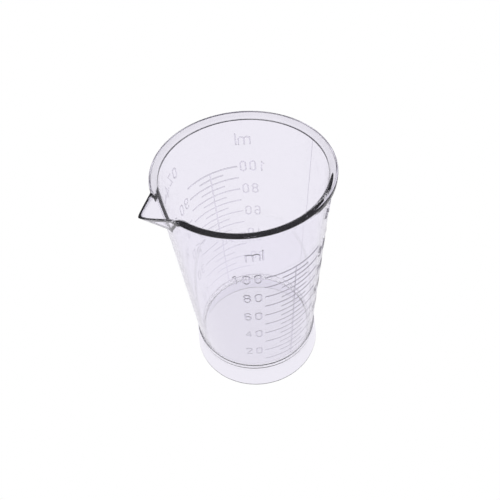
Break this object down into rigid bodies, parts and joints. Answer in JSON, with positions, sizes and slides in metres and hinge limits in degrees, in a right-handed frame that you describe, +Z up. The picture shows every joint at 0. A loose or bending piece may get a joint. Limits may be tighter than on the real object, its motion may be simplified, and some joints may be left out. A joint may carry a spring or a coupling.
{
  "type": "measuring beaker",
  "caption": "Clear plastic measuring beaker: tapered cup on a flared hollow foot, beaded rim, folded V spout and raised ml and ounce scales.",
  "frame": {"origin": "on the cup's axis, on the plane that the foot stands on", "axes": "+Z up along the cup's axis; the spout points along -X; the ml scales face -Y and +Y"},
  "size_m": [0.0642, 0.0576, 0.0917],
  "materials": {
    "clear_moulding": "clear, polished mould",
    "raised_marks": "clear, raised 0.35 mm"
  },
  "bodies": {
    "root": {"wall": "clear_moulding", "floor": "clear_moulding", "foot_skirt": "clear_moulding", "rim_bead": "clear_moulding", "spout": "clear_moulding", "parting_line": "raised_marks", "front_ml_ten_lines": "raised_marks", "front_ml_five_lines": "raised_marks", "front_ml_upright": "raised_marks", "front_ml_even_numerals": "raised_marks", "front_ml_odd_numerals": "raised_marks", "front_ml_unit": "raised_marks", "front_oz_lines": "raised_marks", "front_oz_numerals": "raised_marks", "front_oz_unit": "raised_marks", "back_ml_ten_lines": "raised_marks", "back_ml_five_lines": "raised_marks", "back_ml_upright": "raised_marks", "back_ml_even_numerals": "raised_marks", "back_ml_odd_numerals": "raised_marks", "back_ml_unit": "raised_marks", "back_oz_lines": "raised_marks", "back_oz_numerals": "raised_marks", "back_oz_unit": "raised_marks"}
  },
  "joints": []
}
